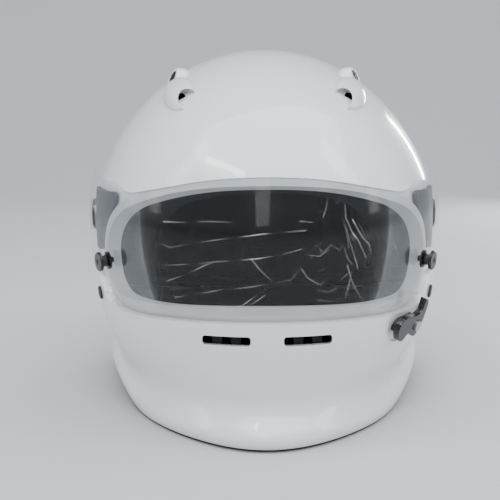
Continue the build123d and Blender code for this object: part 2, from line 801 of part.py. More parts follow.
def chin_bar_eps():
    block = zone(-shell_front - overrun, chin_back, chin_top)
    liner = (lining_form & above_rim(liner_floor)) & block
    liner = liner - core(chin_inset)
    inner = shutter_radius - shutter_wall - housing_depth
    housing = shutter_band(inner, shell_front, slot_outer + housing_margin, grille_margin)
    tab_slot = chin_block(2 * shutter_tab_width, seat_gap + shutter_wall, shutter_centre)
    air = chin_block(slot_outer, 0, shutter_centre) - chin_block(slot_inner, slot_inner, shutter_centre)
    return liner - [housing, tab_slot, air]


def cheek_pad():
    """The removable pad on one side, with a channel for the strap and its snaps."""
    size = (shell_half_width + overrun - cheek_near, cheek_back - cheek_front, shell_top)
    block = Pos(cheek_near, cheek_front, 0) * Box(*size, align=(Align.MIN, Align.MIN, Align.MIN))
    pad = (lining_form & above_rim(liner_floor)) & block
    pad = pad - core(cheek_inset) - above_line(liner_edge_shares, liner_gap)
    channel = Box(shell_half_width, strap_width + 2 * channel_margin, strap_end_height + channel_margin,
                  align=(Align.MIN, Align.CENTER, Align.MIN))
    return pad - [Pos(strap_side - channel_depth, strap_y, 0) * channel] - snaps(seat_gap)


def snaps(gap=0.0):
    """The two snap studs that hold a cheek pad to the shell."""
    studs = []
    for place in snap_places:
        low = shell_plane(*place).offset(-shell_wall - snap_height - gap)
        studs.append(extrude(low * Circle(snap_radius + gap), amount=2 * snap_height) & cavity_form)
    return studs


def neck_roll():
    block = zone(neck_front, shell_rear + overrun, neck_top)
    roll = (lining_form & above_rim(liner_floor)) & block
    return roll - core(neck_inset)


def outer_shell():
    """The shell with its hoods, land, openings and every hole that a fixing needs."""
    hood, mouth, duct = vent_hood(), vent_mouth(), vent_duct()
    shell = (body() & above_rim()) + [hood, flip(hood)]
    shell = shell - [mouth, flip(mouth)] - front_prism(eyeport_shares, eyeport_bead) - lock_pocket()
    shell = shell - cavity_form
    stem = extrude(pivot_plane(-overrun) * Circle(pivot_stem_radius + running_gap), amount=overrun)
    insert = extrude(insert_outline(running_gap), amount=overrun, both=True)
    pairs = [chin_slot(), duct, knob_seat(), stem, shield_rest(), insert, strap_rivet(), rear_slot()]
    holes = pairs + [flip(hole) for hole in pairs]
    return shell - holes - lock_round(lock_pin_radius, -overrun, overrun)


cavity_form = body(shell_wall)
lining_form = body(shell_wall + seat_gap)

for name, make in (("visor", visor_piece), ("outer_shell", outer_shell), ("eyeport_seal", eyeport_seal),
                   ("bottom_edge_trim", edge_trim), ("chin_vent_grille", chin_grille),
                   ("chin_vent_shutter", chin_shutter), ("visor_lock_base", lock_base),
                   ("visor_lock_lever", lock_lever), ("visor_lock_pin", lock_pin),
                   ("visor_lock_spring", lock_spring), ("strap_left", strap_left),
                   ("strap_right", strap_right), ("crown_eps", crown_eps), ("chin_bar_eps", chin_bar_eps),
                   ("crown_pad", crown_pad), ("neck_roll", neck_roll)):
    save(name, make())

for name, make in (("visor_arm", visor_arm), ("pivot_bush", pivot_bush), ("pivot_screw", pivot_screw),
                   ("tear_off_post", tear_off_post), ("brow_vent_knob", vent_knob),
                   ("rear_vent", rear_vent), ("cheek_pad", cheek_pad), ("anchor_insert", anchor_insert)):
    piece = make()
    save(name + "_left", piece)
    save(name + "_right", flip(piece))

save("d_ring_upper", d_ring(ring_step))
save("d_ring_lower", d_ring(-ring_step))

for name, pieces in (("tear_off_post_screws", [post_screw()]), ("visor_stop_buttons", [shield_rest()]),
                     ("strap_anchors", [strap_rivet()]), ("cheek_pad_snaps", snaps())):
    save(name, Compound(pieces + [flip(piece) for piece in pieces]))
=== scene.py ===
import math

import bmesh
import bpy
import numpy as np
from mathutils import Matrix, Vector, noise


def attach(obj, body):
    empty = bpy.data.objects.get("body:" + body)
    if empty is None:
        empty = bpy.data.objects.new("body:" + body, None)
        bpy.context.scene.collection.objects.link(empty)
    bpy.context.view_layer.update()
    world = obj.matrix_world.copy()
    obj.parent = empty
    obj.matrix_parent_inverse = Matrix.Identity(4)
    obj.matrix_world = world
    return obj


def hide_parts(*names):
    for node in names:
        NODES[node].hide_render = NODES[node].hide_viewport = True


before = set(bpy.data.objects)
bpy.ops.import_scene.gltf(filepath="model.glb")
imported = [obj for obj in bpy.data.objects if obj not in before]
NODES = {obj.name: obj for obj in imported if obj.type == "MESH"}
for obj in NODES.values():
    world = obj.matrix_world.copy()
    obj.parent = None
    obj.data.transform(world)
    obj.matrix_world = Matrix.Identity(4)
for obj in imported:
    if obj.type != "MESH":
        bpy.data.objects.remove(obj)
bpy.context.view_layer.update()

bl_info = {
    "name": "Racing helmet looks",
    "version": (1, 0, 0),
    "blender": (4, 5, 0),
    "location": "3D View > Sidebar > Helmet",
    "description": "Dresses a full face racing helmet with its finishes, pads, straps, film and studio",
    "category": "Object",
}

MM = 0.001

# The shield's turned surface, as in the part's source
PIVOT_Y, PIVOT_Z = -6.0, 129.5
SHIELD_HALF_WIDTH, SHIELD_REACH, SHIELD_POWER = 123.8, 165.0, 2.25

# The protective film's reach down and up the shield in degrees, and how high it may lift in mm
FILM_ANGLES = (-14.6, 11.6)
FILM_LIFT = (0.15, 1.1)
# The crumpled patch near the film's left end: middle and half size on the flat film in mm
CRUMPLE_MIDDLE, CRUMPLE_SIZE = (44, -3), (24, 30)

# Pad channels in mm: across the crown, along it, down the cheeks, and round the nape in degrees
GIRTH_HEIGHT = 117.5
CROWN_CHANNELS, CROWN_CROSS_CHANNEL = (18, 52), 8
CHEEK_CHANNELS = (-24, 36)
NECK_CHANNEL_STEP, NECK_MM_PER_DEGREE = 22, 2.3

# The chin strap in mm: its lines seen from the front, the rings' bar and the stitched patches
STRAP_MIDDLE_Y = 6.0
STRAP_BEND = 9.0
RIPPLE_HEIGHT, RIPPLES_PER_MM = 0.008, 2.4
RING_BAR, LOOP_RADIUS = (40, 12), 5.8
RING_END_LINE = ((107.4, 45.6), (107.4, 32), (95, 17.6), (42, 17.6))
RETURN_LINE, RETURN_BEND = ((44.6, 8.4), (56, 15.75), (72, 15.75)), 14.0
FREE_END_LINE = ((-107.4, 45.6), (-107.4, 32), (-95, 17.4), (-40, 17.4), (-10.4, 12.1))
STITCH_SIDES, BOX_ENDS, UNDER_END = (-2.5, 14.5), (52, 70), 58
STITCH_TOP, STITCH_UNDER = 18.4, 14.95
HEM_SIDES, HEM_PLACES, HEM_SLOPE, HEM_RAISED = (-3.0, 15.0), (-13.0, -16.0), 0.18, 0.85

# Half of the webbing's rounded section, as shares of its width and thickness
WEBBING_EDGE = ((-0.5, 0.0), (-0.485, 0.36), (-0.45, 0.5), (-0.2, 0.5), (0.0, 0.5), (0.2, 0.5),
                (0.45, 0.5), (0.485, 0.36))

# Which finish each CAD node wears
WEARS = {
    "shell_paint": ["outer_shell"],
    "clear_shield": ["visor"],
    "eyeport_rubber": ["eyeport_seal"],
    "rim_rubber": ["bottom_edge_trim", "visor_stop_buttons"],
    "shade_painted_black": ["chin_vent_grille", "chin_vent_shutter"],
    "moulded_black": [
        "visor_lock_base", "cheek_pad_snaps",
        "visor_arm_left", "visor_arm_right", "brow_vent_knob_left", "brow_vent_knob_right",
        "rear_vent_left", "rear_vent_right",
    ],
    "glossy_black": [
        "visor_lock_lever", "pivot_screw_left", "pivot_screw_right", "tear_off_post_left",
        "tear_off_post_right",
    ],
    "brushed_metal": [
        "visor_lock_pin", "visor_lock_spring", "pivot_bush_left", "pivot_bush_right",
        "tear_off_post_screws", "strap_anchors", "anchor_insert_left", "anchor_insert_right",
        "d_ring_upper", "d_ring_lower",
    ],
    "liner_foam": ["crown_eps", "chin_bar_eps"],
}

# The studio's floor in metres, which sweeps up into a wall
FLOOR_FRONT, FLOOR_BACK, FLOOR_HALF_WIDTH = -4.0, 1.2, 6.0
SWEEP, WALL_TOP = 1.6, 5.0

# Creases of the protective film: place across in mm and angle up from level in degrees
LONG_CREASES = (
    ((-62, 5.0), (-48, 4.9), (-37, 5.2), (-20, 5.0)),
    ((-63, -0.3), (-59, -0.9), (-46, 0.3), (-31, 1.3), (-3, 2.6), (23, 3.3)),
    ((-62, -5.2), (-31, -3.3), (-4, -2.4), (9, -1.6), (20, -0.6)),
    ((-61, -9.0), (-54, -7.6), (-47, -6.2), (-36, -4.0), (-29, -3.2)),
    ((-56, -12.6), (-44, -11.0), (-28, -9.4), (-10, -8.5), (3, -7.7), (14, -7.0), (20, -4.4)),
    ((-24, -14.3), (-14, -12.4), (-6, -10.2), (-1, -9.0)),
    ((-9, -2.7), (-4, -5.0), (3, -7.3)),
    ((-20, -13.8), (-9, -12.2), (-1, -10.2)),
)
SHORT_CREASES = (
    ((19, 5.2), (27, 4.9), (33, 5.4), (36, 3.6), (40, 0.6), (43, 1.9)),
    ((36, 10.4), (35, 7.9), (33, 5.9)), ((30, 7.2), (35, 6.6), (38, 5.0)),
    ((46, 9.4), (47, 5.8), (51, 2.4), (55, 0.6), (60, -3.6)),
    ((46, 6.0), (48, 2.2), (52, -2.2), (55, -6.0)), ((51, 5.4), (57, 1.5), (62, -0.6), (63, -3.0)),
    ((47, 3.4), (51, -1.2), (53, -5.0)), ((55, 4.4), (60, 1.0), (66, -3.2)),
    ((22, -0.4), (26, -1.4), (29, 0.2), (33, -1.6), (38, 0.1), (43, -1.2), (46, 0.4)),
    ((24, -1.9), (31, -2.2), (37, -0.9)), ((46, -0.6), (48, -3.0), (51, -4.6)),
    ((20, -4.6), (24, -6.8), (31, -8.4), (37, -7.2), (44, -7.9), (48, -6.7)),
    ((24, -4.9), (30, -5.6), (34, -5.0)), ((22, -7.4), (30, -9.6), (37, -10.4), (42, -9.6)),
    ((48, -4.6), (51, -8.4), (56, -12.2), (59, -14.0)), ((51, -6.0), (49, -10.0), (46, -13.8)),
    ((43, 8.2), (47, 3.0), (49, -0.8)), ((30, -11.8), (38, -12.6), (46, -12.2)),
    ((70, -3.8), (76, -2.4), (80, -3.4)), ((77, 0.2), (80, -2.6)),
)


class Value:
    """A shader socket that can stand in an expression, where each sum adds its Math node."""

    def __init__(self, finish, socket):
        self.finish, self.socket = finish, socket

    def maths(self, operation, *values):
        return self.finish.node("ShaderNodeMath", {"operation": operation}, values)

    def __add__(self, other):
        return self.maths("ADD", self, other)

    def __sub__(self, other):
        return self.maths("SUBTRACT", self, other)

    def __rsub__(self, other):
        return self.maths("SUBTRACT", other, self)

    def __mul__(self, other):
        return self.maths("MULTIPLY", self, other)

    __radd__, __rmul__ = __add__, __mul__

    def clamped(self, low=0.0, high=1.0):
        return self.finish.node("ShaderNodeClamp", {}, (self, low, high))

    def wave(self):
        return self.maths("SINE", self)


class Finish:
    """A material being mixed: one method adds any node, and a few name the usual ones."""

    def __init__(self, name):
        self.material = bpy.data.materials.new(name)
        self.material.use_nodes = True
        self.tree = self.material.node_tree
        self.tree.nodes.clear()

    def node(self, kind, settings, values, output=0):
        made = self.tree.nodes.new(kind)
        for key, value in settings.items():
            if key == "stops":
                while len(made.color_ramp.elements) < len(value):
                    made.color_ramp.elements.new(1.0)
                for element, (place, shade) in zip(made.color_ramp.elements, value):
                    element.position, element.color = place, (shade, shade, shade, 1.0)
            else:
                setattr(made, key, value)
        for key, value in values.items() if isinstance(values, dict) else enumerate(values):
            if isinstance(value, Value):
                self.tree.links.new(value.socket, made.inputs[key])
            else:
                made.inputs[key].default_value = value
        return Value(self, made.outputs[output])

    def place(self):
        return self.node("ShaderNodeTexCoord", {}, (), "Object")

    def stretched(self, *factors):
        return self.node("ShaderNodeMapping", {}, {"Vector": self.place(), "Scale": factors})

    def grain(self, scale, detail=2.0, vector=None, rough=0.5):
        """A noise whose middle is a half."""
        return self.node("ShaderNodeTexNoise", {}, {
            "Vector": vector or self.place(), "Scale": scale, "Detail": detail, "Roughness": rough})

    def cells(self, scale, vector=None, feature="F1", output="Distance"):
        return self.node("ShaderNodeTexVoronoi", {"feature": feature}, {
            "Vector": vector or self.place(), "Scale": scale}, output)

    def attribute(self, name):
        return self.node("ShaderNodeAttribute", {"attribute_name": name}, (), "Fac")

    def ramp(self, factor, *stops):
        return self.node("ShaderNodeValToRGB", {"stops": stops}, (factor,))

    def blend(self, factor, first, second):
        """One colour where the factor is 0 and another where it is 1."""
        return self.node("ShaderNodeMix", {"data_type": "RGBA"}, {0: factor, 6: first, 7: second}, 2)

    def bump(self, height, distance, strength=1.0):
        return self.node("ShaderNodeBump", {}, {
            "Height": height, "Distance": distance, "Strength": strength})

    def gloss(self, **values):
        """The Principled shader, with its socket names written with underscores."""
        return self.node("ShaderNodeBsdfPrincipled", {}, {
            key.replace("_", " "): value for key, value in values.items()})

    def done(self, shader):
        output = self.tree.nodes.new("ShaderNodeOutputMaterial")
        self.tree.links.new(shader.socket, output.inputs["Surface"])
        return self.material


def tint(colour, factor=1.0):
    return (colour[0] * factor, colour[1] * factor, colour[2] * factor, 1.0)


def shell_paint(look):
    """White gloss paint under clear coat, with a faint orange peel, haze and scuffed lower edge."""
    finish = Finish("shell_paint")
    peel = finish.grain(420.0, 1.0)
    haze = finish.grain(9.0, 4.0, rough=0.6)
    drawn_out = finish.stretched(1.0, 1.0, 4.0)
    scuffs = finish.ramp(finish.grain(60.0, 6.0, drawn_out, 0.7), (0.62, 0.0), (0.72, 1.0))
    height = finish.node("ShaderNodeSeparateXYZ", {}, (finish.place(),), 2)
    low = (1.0 - height * 28.0).clamped()
    wear_and_shade = (scuffs * low * 0.35).clamped()
    colour = finish.blend((haze * 0.22 + wear_and_shade).clamped(), tint(look.paint), tint(look.paint, 0.86))
    return finish.done(finish.gloss(
        Base_Color=colour, Roughness=(0.2 + haze * 0.1 + wear_and_shade * 0.3).clamped(),
        Normal=finish.bump(peel, 0.00006, 0.5), Coat_Weight=(1.0 - wear_and_shade).clamped(),
        Coat_Roughness=0.03, Specular_IOR_Level=0.5))


def see_through(name, haze, edge, tone, rough):
    """A clear skin: what is behind it, under a reflection that grows towards its edges."""
    finish = Finish(name)
    clear = finish.node("ShaderNodeBsdfTransparent", {}, ((*tone, 1.0),))
    fresnel = finish.node("ShaderNodeLayerWeight", {}, {"Blend": edge}, "Fresnel")
    mirror = finish.gloss(Base_Color=(0.93, 0.95, 0.96, 1.0), Metallic=0.85, Roughness=rough)
    mixed = finish.node("ShaderNodeMixShader", {}, (haze(finish, fresnel).clamped(), clear, mirror))
    return finish.done(mixed)


def clear_shield(look):
    """Clear moulded plastic with the faint smears of handling."""
    def haze(finish, fresnel):
        smear = finish.grain(14.0, 5.0, finish.stretched(1.0, 1.0, 3.5), 0.65)
        streaks = finish.ramp(smear, (0.5, 0.0), (0.78, 1.0))
        return look.clarity + fresnel * 0.2 + streaks * 0.008
    return see_through("clear_shield", haze, 0.22, (0.985, 0.99, 0.99), 0.06)


def protective_film(look):
    """Thin crumpled film: its folds are painted into an attribute when it is creased."""
    def haze(finish, fresnel):
        fold = finish.attribute("fold")
        dust = finish.ramp(finish.cells(110.0), (0.0, 1.0), (0.04, 0.0))
        patch = finish.ramp(finish.grain(38.0, 3.0), (0.52, 0.0), (0.66, 1.0))
        dull = finish.grain(46.0, 3.0) * 1.5 - 0.35
        crease = fold * dull.clamped(0.1, 1.0) * look.crease_light
        return 0.004 + fresnel * 0.1 + crease + dust * patch * 0.2
    return see_through("protective_film", haze, 0.2, (0.99, 0.99, 0.99), 0.2)


def rubber(name, colour, rough):
    finish = Finish(name)
    grain = finish.grain(1400.0, 3.0)
    dust = finish.ramp(finish.grain(45.0, 5.0), (0.5, 0.0), (0.8, 1.0))
    return finish.done(finish.gloss(
        Base_Color=finish.blend(dust * 0.25, tint(colour), tint(colour, 1.7)),
        Roughness=(rough + dust * 0.15).clamped(), Normal=finish.bump(grain, 0.0001, 0.5)))


def eyeport_rubber(look):
    return rubber("eyeport_rubber", look.seal, 0.55)


def rim_rubber(look):
    return rubber("rim_rubber", look.rubber, 0.6)


def moulded(name, colour, rough, depth):
    """Spark textured plastic, smoother and paler where fingers rub it."""
    finish = Finish(name)
    spark = finish.grain(1900.0, 2.0)
    rubbed = finish.ramp(finish.grain(70.0, 4.0), (0.52, 0.0), (0.72, 1.0))
    return finish.done(finish.gloss(
        Base_Color=finish.blend(rubbed * 0.4, tint(colour), tint(colour, 1.9)),
        Roughness=(rough - rubbed * 0.1).clamped(), Normal=finish.bump(spark, depth, 0.6),
        Specular_IOR_Level=0.5))


def moulded_black(look):
    return moulded("moulded_black", look.plastic, 0.42, 0.0001)


# A darker copy of the black plastic for the chin vent's grille and shutter: its colour is painted shade for
# the recess they sit back in.
def shade_painted_black(look):
    return moulded("shade_painted_black", [shade * 0.25 for shade in look.plastic], 0.85, 0.0001)


def glossy_black(look):
    return moulded("glossy_black", [shade * 0.5 for shade in look.plastic], 0.14, 0.00003)


def brushed_metal(look):
    finish = Finish("brushed_metal")
    lines = finish.grain(260.0, 4.0, finish.stretched(1.0, 14.0, 1.0))
    stain = finish.grain(30.0, 4.0)
    return finish.done(finish.gloss(
        Base_Color=finish.blend(stain * 0.5, tint(look.metal), tint(look.metal, 0.6)), Metallic=1.0,
        Roughness=(0.2 + lines * 0.25).clamped(), Normal=finish.bump(lines, 0.00004, 0.4)))


def liner_foam(look):
    """Moulded bead foam, each bead a low dome, painted lighter on its top and darker towards the gaps
    between beads as painted shade.
    """
    finish = Finish("liner_foam")
    beads = finish.cells(330.0)
    # Painted shade: each bead's colour darkens from its top towards the gaps between beads.
    return finish.done(finish.gloss(
        Base_Color=finish.blend(beads.clamped(), tint(look.foam, 1.15), tint(look.foam, 0.8)),
        Roughness=0.92, Normal=finish.bump(1.0 - beads, 0.0002, 0.35), Specular_IOR_Level=0.3))


def liner_cloth(look):
    """Knitted lining cloth with its small open holes, which are painted darker as the shade inside them."""
    finish = Finish("liner_cloth")
    holes = finish.cells(300.0)
    knit = finish.grain(1300.0, 2.0)
    open_holes = finish.ramp(holes, (0.1, 1.0), (0.42, 0.0))
    height = (1.0 - open_holes) * 0.4 + knit * 0.4
    # The colour's mask is painted shade in the open holes, plus the knit's own random tone.
    wear_and_shade = (open_holes + knit * 0.3).clamped()
    return finish.done(finish.gloss(
        Base_Color=finish.blend(wear_and_shade, tint(look.cloth), tint(look.cloth, 0.75)),
        Roughness=0.95, Normal=finish.bump(height, 0.00012, 0.4), Sheen_Weight=0.05, Sheen_Roughness=0.4,
        Specular_IOR_Level=0.3))


def strap_webbing(look):
    """Webbing whose ribs and weft follow the band's own map, in millimetres."""
    finish = Finish("strap_webbing")
    band = finish.node("ShaderNodeUVMap", {"uv_map": "band"}, ())
    along = finish.node("ShaderNodeSeparateXYZ", {}, (band,), 0)
    across = finish.node("ShaderNodeSeparateXYZ", {}, (band,), 1)
    weft = (along * 5.2 + (across * 2.4).wave() * 0.6).wave() * 0.5 + 0.5
    warp = (across * 4.1).wave() * 0.5 + 0.5
    weave = weft * 0.6 + warp * 0.4
    fuzz = finish.grain(2400.0, 2.0)
    # Painted light: the weave's colour is lighter on its crests and darker in its grooves, a painted
    # highlight and painted shade.
    return finish.done(finish.gloss(
        Base_Color=finish.blend(weave.clamped(), tint(look.webbing, 0.5), tint(look.webbing, 1.5)),
        Roughness=0.75, Normal=finish.bump(weave + fuzz * 0.3, 0.0004, 0.8), Sheen_Weight=0.3))


def stitch_thread(look):
    finish = Finish("stitch_thread")
    twist = finish.grain(1500.0, 1.0, finish.stretched(1.0, 1.0, 3.0))
    return finish.done(finish.gloss(
        Base_Color=finish.blend(twist, tint(look.thread, 0.7), tint(look.thread, 1.3)),
        Roughness=0.6, Normal=finish.bump(twist, 0.0002, 0.6)))


def wear(material):
    """Gives a finish to the CAD nodes that wear it."""
    for name in WEARS[material.name]:
        piece = NODES[name]
        if not piece.material_slots:
            piece.data.materials.append(material)
        for holder in piece.material_slots:
            holder.material = material


def new_piece(name, mesh, material, body):
    """A mesh that is already in place becomes a piece that rides on a body."""
    mesh.materials.clear()
    mesh.materials.append(material)
    for face in mesh.polygons:
        face.use_smooth = True
    piece = bpy.data.objects.new(name, mesh)
    bpy.context.scene.collection.objects.link(piece)
    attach(piece, body)
    return piece


def settled(piece):
    """The evaluated mesh of an object, as a plain one, and the object gone."""
    graph = bpy.context.evaluated_depsgraph_get()
    mesh = bpy.data.meshes.new_from_object(piece.evaluated_get(graph))
    bpy.data.objects.remove(piece)
    return mesh


def loose(name, mesh):
    piece = bpy.data.objects.new(name, mesh)
    bpy.context.scene.collection.objects.link(piece)
    return piece


def shield_point(x, angle, raised):
    """A point of the shield's surface, in mm, at an angle up from level."""
    half, reach = SHIELD_HALF_WIDTH + raised, SHIELD_REACH + raised
    out = reach * max(1 - (abs(x) / half) ** SHIELD_POWER, 0) ** (1 / SHIELD_POWER)
    return Vector((x, PIVOT_Y - out * math.cos(angle), PIVOT_Z + out * math.sin(angle)))


def crease_field(flat, creases, width, seed):
    """For flat points in mm, how near each is to a crease, from 0 to 1, and a raised fold's height."""
    near, height = np.zeros(len(flat)), np.zeros(len(flat))
    for number, crease in enumerate(creases):
        line = np.array([(x, math.radians(a) * SHIELD_REACH) for x, a in crease])
        for first, last in zip(line[:-1], line[1:]):
            step = last - first
            share = np.clip(((flat - first) @ step) / (step @ step), 0, 1)
            gap = flat - (first + share[:, None] * step)
            away = np.hypot(gap[:, 0], gap[:, 1])
            side = np.sign(gap @ np.array((-step[1], step[0])))
            wobble = 0.5 + 0.5 * np.sin(flat[:, 0] * 0.23 + flat[:, 1] * 0.17 + number * 2.1 + seed)
            near = np.maximum(near, np.exp(-(away / (width * 0.45)) ** 2) * wobble)
            fold = np.clip(1 - away / (width * np.where(side > 0, 2.2, 5.0)), 0, 1)
            height = np.maximum(height, fold)
    return near, height


def film_mesh(look):
    """The protective film over the shield, with its long creases and its crumpled patch."""
    half, step = look.film_half_width / MM, look.film_step / MM
    low, high = FILM_ANGLES
    columns = int(2 * half / step) + 1
    rows = int(math.radians(high - low) * SHIELD_REACH / step) + 1
    xs = np.linspace(-half, half, columns)
    angles = np.radians(np.linspace(low, high, rows))
    flat = np.array([(x, a * SHIELD_REACH) for a in angles for x in xs])
    long_near, long_height = crease_field(flat, LONG_CREASES, 0.6, 0.0)
    short_near, short_height = crease_field(flat, SHORT_CREASES, 0.5, 1.3)
    crumple = np.exp(-(((flat - CRUMPLE_MIDDLE) / CRUMPLE_SIZE) ** 2).sum(axis=1) ** 2)
    ripple = np.array([noise.turbulence(Vector((x * 0.11, y * 0.09, 0.0)), 3, False) for x, y in flat])
    facet = np.array([noise.noise(Vector((x * 0.05, y * 0.2, 4.0))) for x, y in flat])
    glint = np.clip(1 - np.abs(ripple - 0.62) * 22, 0, 1) * crumple * np.clip(facet * 2 + 0.2, 0, 1)
    fold = np.clip(long_near + short_near * 0.8 + glint * 0.35 + 0.10 * crumple * (ripple > 0.7), 0, 1)
    height = 0.25 + 0.45 * long_height + 0.4 * short_height + 0.5 * crumple * ripple + 0.1 * facet
    points = [shield_point(x, s / SHIELD_REACH, 0.1 + h) * MM
              for (x, s), h in zip(flat, np.clip(height, *FILM_LIFT))]
    faces = [(r * columns + c, r * columns + c + 1, (r + 1) * columns + c + 1, (r + 1) * columns + c)
             for r in range(rows - 1) for c in range(columns - 1)]
    mesh = bpy.data.meshes.new("protective_film")
    mesh.from_pydata(points, [], faces)
    mesh.attributes.new("fold", "FLOAT", "POINT").data.foreach_set("value", fold.astype(np.float32))
    return mesh


def rounded_line(points, radius, step=1.5):
    """A line through points in mm whose corners are arcs, sampled every so often."""
    corners = [Vector(p) for p in points]
    line = [corners[0]]
    for before, corner, after in zip(corners, corners[1:], corners[2:]):
        back, ahead = (before - corner).normalized(), (after - corner).normalized()
        half = math.acos(max(-1.0, min(1.0, back.dot(ahead)))) / 2
        reach = min(radius / math.tan(half), (before - corner).length / 2, (after - corner).length / 2)
        centre = corner + (back + ahead).normalized() * (reach / math.cos(half))
        start, stop = corner + back * reach - centre, corner + ahead * reach - centre
        count = max(3, int(start.angle(stop) * start.length / step))
        line += [centre + start.slerp(stop, i / count).normalized() * start.length for i in range(count + 1)]
    line.append(corners[-1])
    even = [line[0]]
    for point in line[1:]:
        gap = point - even[-1]
        pieces = max(1, int(gap.length / step))
        even += [even[-1].lerp(point, (i + 1) / pieces) for i in range(pieces)] if gap.length > 0.05 else []
    return even


def front_line(points, radius):
    """A rounded line through places of the front view."""
    return rounded_line([(x, 0, z) for x, z in points], radius)


def webbing_mesh(name, line, look):
    """A flat band along a line of the front view: rounded edges, a fine selvedge ripple and its own map."""
    width, thick = look.strap_width / MM, look.strap_thickness / MM
    profile = [*WEBBING_EDGE, *((-w, -h) for w, h in WEBBING_EDGE)]
    count = len(profile)
    mesh = bmesh.new()
    bands = mesh.loops.layers.uv.new("band")
    rings, travelled, lengths = [], 0.0, []
    for i, point in enumerate(line):
        travelled += (point - line[i - 1]).length if i else 0.0
        lengths.append(travelled)
        run = (line[min(i + 1, len(line) - 1)] - line[max(i - 1, 0)]).normalized()
        up = Vector((-run.z, 0, run.x))
        ripple = 1 + RIPPLE_HEIGHT * math.sin(travelled * RIPPLES_PER_MM)
        rings.append([
            mesh.verts.new((point + Vector((0, STRAP_MIDDLE_Y + width * w * ripple, 0))
                            + up * thick * h) * MM)
            for w, h in profile])
    for i in range(len(rings) - 1):
        for k in range(count):
            corners = ((i, k), (i + 1, k), (i + 1, (k + 1) % count), (i, (k + 1) % count))
            face = mesh.faces.new([rings[a][b] for a, b in corners])
            for loop, (a, b) in zip(face.loops, corners):
                loop[bands].uv = (lengths[a], profile[b][0] * width)
    mesh.faces.new(rings[0])
    mesh.faces.new(rings[-1])
    bmesh.ops.recalc_face_normals(mesh, faces=mesh.faces)
    made = bpy.data.meshes.new(name)
    mesh.to_mesh(made)
    mesh.free()
    return made


def stitch_tree():
    """A Geometry Nodes tree that sews short raised stitches along the curves it is given."""
    tree = bpy.data.node_groups.new("sewn_stitches", "GeometryNodeTree")
    face = tree.interface
    face.new_socket("Geometry", in_out="INPUT", socket_type="NodeSocketGeometry")
    for name, size in (("Pitch", 0.0032), ("Stitch Length", 0.0022), ("Thread Radius", 0.0004)):
        socket = face.new_socket(name, in_out="INPUT", socket_type="NodeSocketFloat")
        socket.default_value = size
    face.new_socket("Thread", in_out="INPUT", socket_type="NodeSocketMaterial")
    face.new_socket("Geometry", in_out="OUTPUT", socket_type="NodeSocketGeometry")
    new, link = tree.nodes.new, tree.links.new
    given, out = new("NodeGroupInput"), new("NodeGroupOutput")
    spread = new("GeometryNodeCurveToPoints")
    spread.mode = "LENGTH"
    link(given.outputs["Geometry"], spread.inputs["Curve"])
    link(given.outputs["Pitch"], spread.inputs["Length"])
    bead = new("GeometryNodeMeshUVSphere")
    bead.inputs["Segments"].default_value = 6
    bead.inputs["Rings"].default_value = 5
    bead.inputs["Radius"].default_value = 1.0
    scale = new("ShaderNodeCombineXYZ")
    half = new("ShaderNodeMath")
    half.operation = "MULTIPLY"
    half.inputs[1].default_value = 0.5
    link(given.outputs["Stitch Length"], half.inputs[0])
    for key in ("X", "Y"):
        link(given.outputs["Thread Radius"], scale.inputs[key])
    link(half.outputs[0], scale.inputs["Z"])
    place = new("GeometryNodeInstanceOnPoints")
    link(spread.outputs["Points"], place.inputs["Points"])
    link(bead.outputs["Mesh"], place.inputs["Instance"])
    link(spread.outputs["Rotation"], place.inputs["Rotation"])
    link(scale.outputs[0], place.inputs["Scale"])
    whole, paint = new("GeometryNodeRealizeInstances"), new("GeometryNodeSetMaterial")
    link(place.outputs["Instances"], whole.inputs["Geometry"])
    link(whole.outputs["Geometry"], paint.inputs["Geometry"])
    link(given.outputs["Thread"], paint.inputs["Material"])
    link(paint.outputs["Geometry"], out.inputs["Geometry"])
    return tree


def sewn(name, runs, material, look):
    """Stitches along straight or curved runs of points in mm, as one plain mesh."""
    curve = bpy.data.curves.new(name, "CURVE")
    curve.dimensions = "3D"
    for run in runs:
        spline = curve.splines.new("POLY")
        spline.points.add(len(run) - 1)
        for point, place in zip(spline.points, run):
            point.co = (*[size * MM for size in place], 1.0)
    piece = loose(name, curve)
    sew = piece.modifiers.new("sew", "NODES")
    sew.node_group = stitch_tree()
    wanted = {"Pitch": look.stitch_pitch, "Stitch Length": look.stitch_length,
              "Thread Radius": look.thread_radius, "Thread": material}
    for item in sew.node_group.interface.items_tree:
        if item.in_out == "INPUT" and item.name in wanted:
            sew[item.identifier] = wanted[item.name]
    return settled(piece)


def closed_copy(node):
    """A CAD node's mesh with its loose triangles joined."""
    mesh = bmesh.new()
    mesh.from_mesh(NODES[node].data)
    bmesh.ops.remove_doubles(mesh, verts=mesh.verts, dist=0.00002)
    bmesh.ops.recalc_face_normals(mesh, faces=mesh.faces)
    made = bpy.data.meshes.new(node + "_soft")
    mesh.to_mesh(made)
    mesh.free()
    return made


def moved_in(mesh, distance):
    """Every point of a mesh moved in along its normal."""
    normals = [v.normal.copy() for v in mesh.vertices]
    for vertex, normal in zip(mesh.vertices, normals):
        vertex.co -= normal * distance


